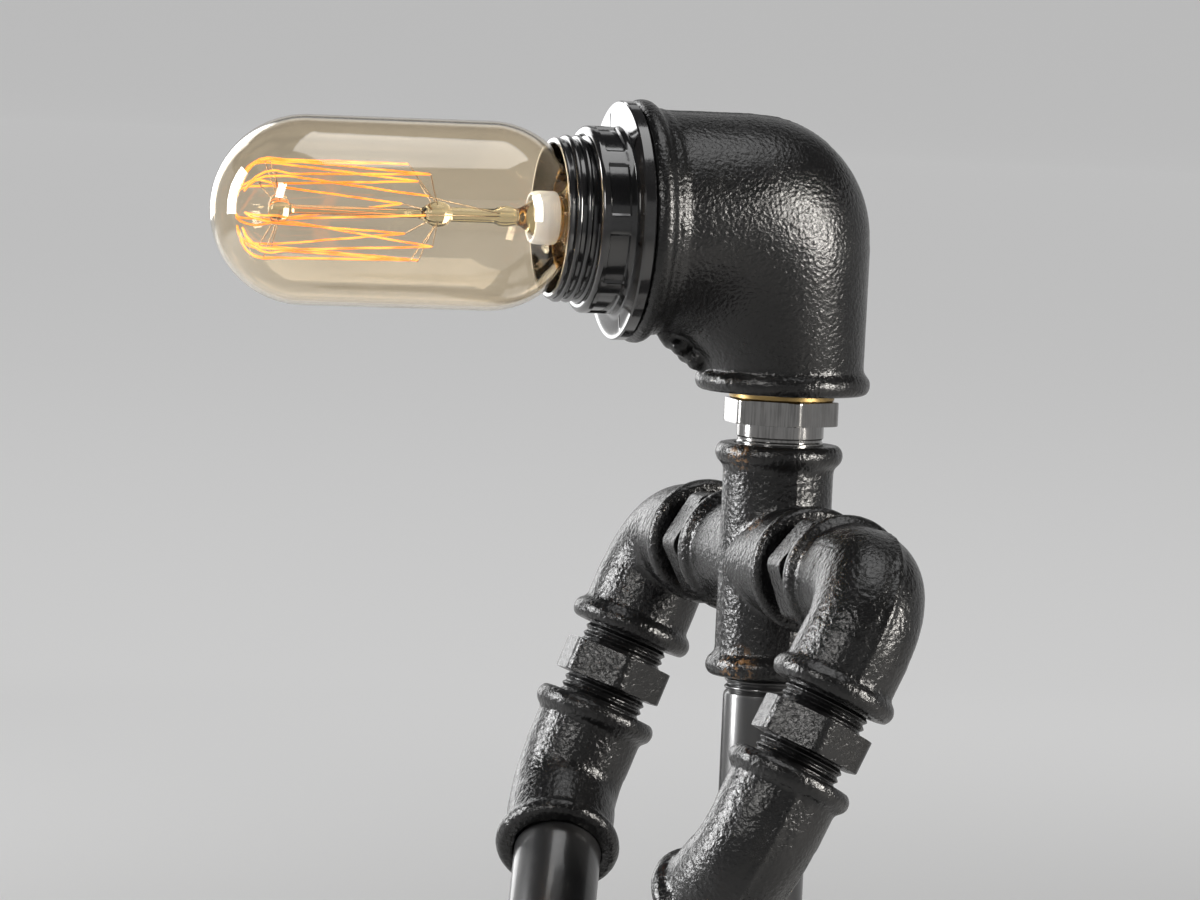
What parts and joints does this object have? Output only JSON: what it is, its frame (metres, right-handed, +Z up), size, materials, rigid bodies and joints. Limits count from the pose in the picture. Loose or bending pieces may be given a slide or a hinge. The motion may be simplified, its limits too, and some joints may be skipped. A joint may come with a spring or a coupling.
{
  "type": "robot shaped desk lamp",
  "caption": "Desk lamp in the shape of a standing robot made of black iron pipe fittings, with an elbow head that holds a tubular filament bulb, swinging arms and a tap switch.",
  "frame": {"origin": "point on the table midway between the two feet, under the axis of the spine", "axes": "+Z up along the spine, -Y the way the robot faces, +X to the robot's left"},
  "size_m": [0.2234, 0.1904, 0.4139],
  "materials": {
    "black_iron": "black paint over a pebbled casting, soft gloss",
    "black_pipe": "smooth black paint, satin",
    "nickel": "polished",
    "brass": "bright",
    "phenolic": "glossy moulded black",
    "amber_glass": "clear amber",
    "stem_glass": "clear",
    "white_ceramic": "matte",
    "black_glass": "glossy",
    "glowing_wire": "glowing when lit",
    "support_wire": "thin drawn wire",
    "switch_plastic": "matte",
    "gland_plastic": "matte",
    "wire_cover": "woven cover over flexible cores",
    "steel": "plain",
    "wheel_paint": "black gloss paint"
  },
  "bodies": {
    "torso": {"chest_cross": "black_iron", "neck_nipple": "nickel", "left_shoulder_nipple": "black_iron", "right_shoulder_nipple": "black_iron", "spine_pipe": "black_pipe", "valve_body": "black_iron", "valve_bonnet": "black_iron", "rotary_switch": "switch_plastic", "waist_nipple": "black_iron", "hip_cross": "black_iron", "gland_plug": "black_iron", "cable_gland": "gland_plastic", "spine_wires": "wire_cover", "left_hip_nipple": "black_iron", "right_hip_nipple": "black_iron", "left_hip_elbow": "black_iron", "right_hip_elbow": "black_iron", "left_thigh_nipple": "black_iron", "right_thigh_nipple": "black_iron", "left_knee_socket": "black_iron", "right_knee_socket": "black_iron", "left_shin_pipe": "black_pipe", "right_shin_pipe": "black_pipe", "left_foot_flange": "black_iron", "right_foot_flange": "black_iron"},
    "head": {"head_elbow": "black_iron", "neck_bush": "brass", "lamp_holder": "phenolic", "shade_ring": "phenolic", "holder_shell": "brass", "holder_contact": "brass", "head_wires": "wire_cover"},
    "bulb": {"bulb_glass": "amber_glass", "bulb_cap": "brass", "bulb_cap_insulator": "black_glass", "bulb_contact": "steel", "glass_stem": "stem_glass", "heat_disc": "white_ceramic", "filament": "glowing_wire", "filament_supports": "support_wire"},
    "tap": {"tap_spindle": "steel", "tap_handwheel": "wheel_paint", "tap_screw": "steel"},
    "left_upper_arm": {"left_shoulder_elbow": "black_iron", "left_arm_nipple": "black_iron"},
    "left_forearm": {"left_arm_bend": "black_iron", "left_forearm_pipe": "black_pipe", "left_fist_cap": "black_iron"},
    "right_upper_arm": {"right_shoulder_elbow": "black_iron", "right_arm_nipple": "black_iron"},
    "right_forearm": {"right_arm_bend": "black_iron", "right_forearm_pipe": "black_pipe", "right_fist_cap": "black_iron"}
  },
  "joints": [
    {"name": "head_turn", "type": "hinge", "parent": "torso", "child": "head", "pos_m": [0, 0, 0.339], "axis": [0, 0, 1], "range_deg": [-90, 90]},
    {"name": "bulb_draw", "type": "slide", "parent": "head", "child": "bulb", "axis": [-0.0837, -0.9965, 0], "range_m": [0, 0.03]},
    {"name": "tap_turn", "type": "hinge", "parent": "torso", "child": "tap", "pos_m": [0, 0.03, 0.195], "axis": [0, 1, 0], "range_deg": [0, 90]},
    {"name": "left_shoulder", "type": "hinge", "parent": "torso", "child": "left_upper_arm", "pos_m": [0.0457, 0, 0.305], "axis": [-1, 0, 0], "range_deg": [-10, 65]},
    {"name": "right_shoulder", "type": "hinge", "parent": "torso", "child": "right_upper_arm", "pos_m": [-0.0457, 0, 0.305], "axis": [-1, 0, 0], "range_deg": [-10, 68]},
    {"name": "left_elbow", "type": "hinge", "parent": "left_upper_arm", "child": "left_forearm", "pos_m": [0.0737, -0.01986, 0.26318], "axis": [0, 0.4289, 0.9033], "range_deg": [-5, 170]},
    {"name": "right_elbow", "type": "hinge", "parent": "right_upper_arm", "child": "right_forearm", "pos_m": [-0.0737, -0.01697, 0.26192], "axis": [0, -0.3665, -0.9304], "range_deg": [-5, 170]}
  ]
}
